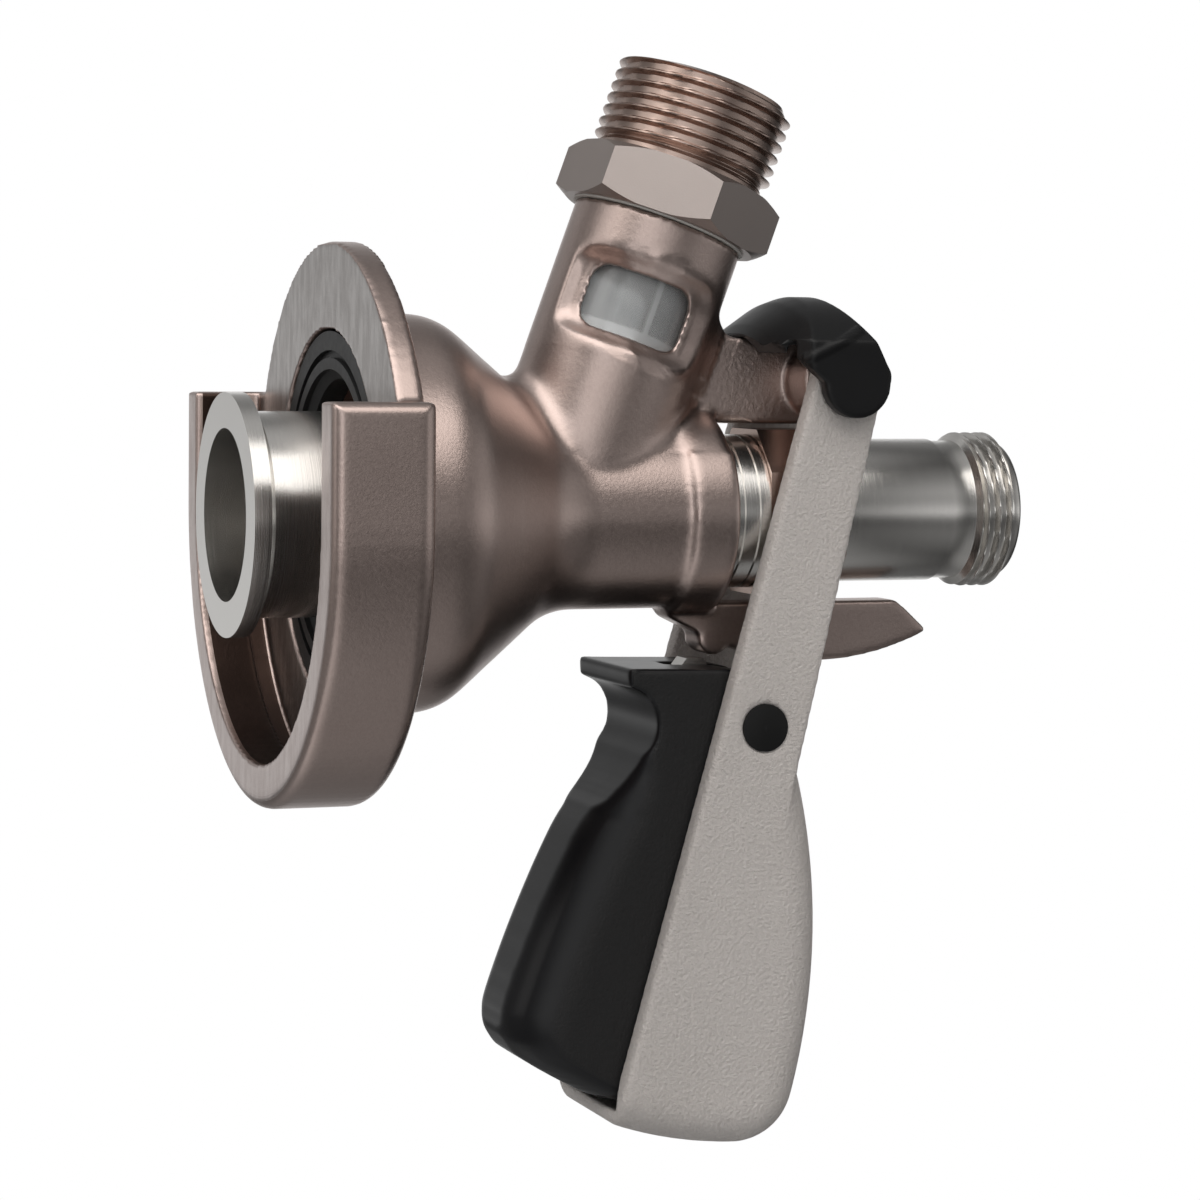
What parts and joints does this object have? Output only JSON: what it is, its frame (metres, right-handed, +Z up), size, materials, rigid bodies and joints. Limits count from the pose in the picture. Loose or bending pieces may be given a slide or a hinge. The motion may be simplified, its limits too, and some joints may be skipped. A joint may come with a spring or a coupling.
{
  "type": "keg coupler",
  "caption": "Slide-on keg coupler with a U-shaped keg rim, sliding probe, threaded gas port with sight glass, and a forked handle with a squeeze trigger.",
  "frame": {"origin": "on the probe axis at the flat face that meets the keg", "axes": "+Z up the probe, away from the keg; +X towards the end of the handle; the port and the hinge are on the -X side"},
  "size_m": [0.1564, 0.082, 0.1181],
  "materials": {
    "plated_casting": "bead-blasted nickel plate on forged brass",
    "plated_turned": "satin nickel plate on turned brass",
    "seal_rubber": "smooth black rubber",
    "washer_fibre": "pale flat washer",
    "bush_plastic": "pale bearing plastic",
    "spring_steel": "satin stainless steel",
    "turned_steel": "fine turned stainless steel",
    "clear_glass": "clear glass",
    "cap_plastic": "smooth black moulding",
    "trigger_plastic": "black moulding, grained sides",
    "handle_casting": "light grey grained casting"
  },
  "bodies": {
    "body": {"body_casting": "plated_casting", "keg_seal": "seal_rubber", "gland_bush": "bush_plastic", "gland_o_rings": "seal_rubber", "gland_circlip": "spring_steel", "port_nipple": "plated_turned", "port_washer": "washer_fibre", "check_valve": "seal_rubber", "valve_ring": "spring_steel", "sight_glass": "clear_glass", "glass_seals": "seal_rubber", "hinge_pin": "spring_steel", "hinge_cap": "cap_plastic"},
    "handle": {"handle_frame": "handle_casting", "hinge_bushes": "bush_plastic", "trigger_pin": "spring_steel", "trigger_pin_plugs": "cap_plastic", "trigger_spring": "spring_steel"},
    "trigger": {"trigger": "trigger_plastic", "latch_pawl": "spring_steel"},
    "probe": {"probe_tube": "turned_steel", "trunnion_block": "plated_turned", "trunnion_pins": "spring_steel", "outlet_pipe": "turned_steel"}
  },
  "joints": [
    {"name": "handle_pivot", "type": "hinge", "parent": "body", "child": "handle", "pos_m": [-0.019, 0, 0.0735], "axis": [0, -1, 0], "range_deg": [0, 44.5]},
    {"name": "probe_slide", "type": "slide", "parent": "body", "child": "probe", "axis": [0, 0, 1], "range_m": [0, 0.016]},
    {"name": "trigger_pivot", "type": "hinge", "parent": "handle", "child": "trigger", "pos_m": [0.0303, 0, 0.0609], "axis": [0, -1, 0], "range_deg": [0, 7], "stiffness_Nm_per_rad": 0.6, "springref_deg": -14.32}
  ],
  "couplings": [
    {"joint": "probe_slide", "follows": "handle_pivot", "m_per_rad": 0.020596}
  ]
}
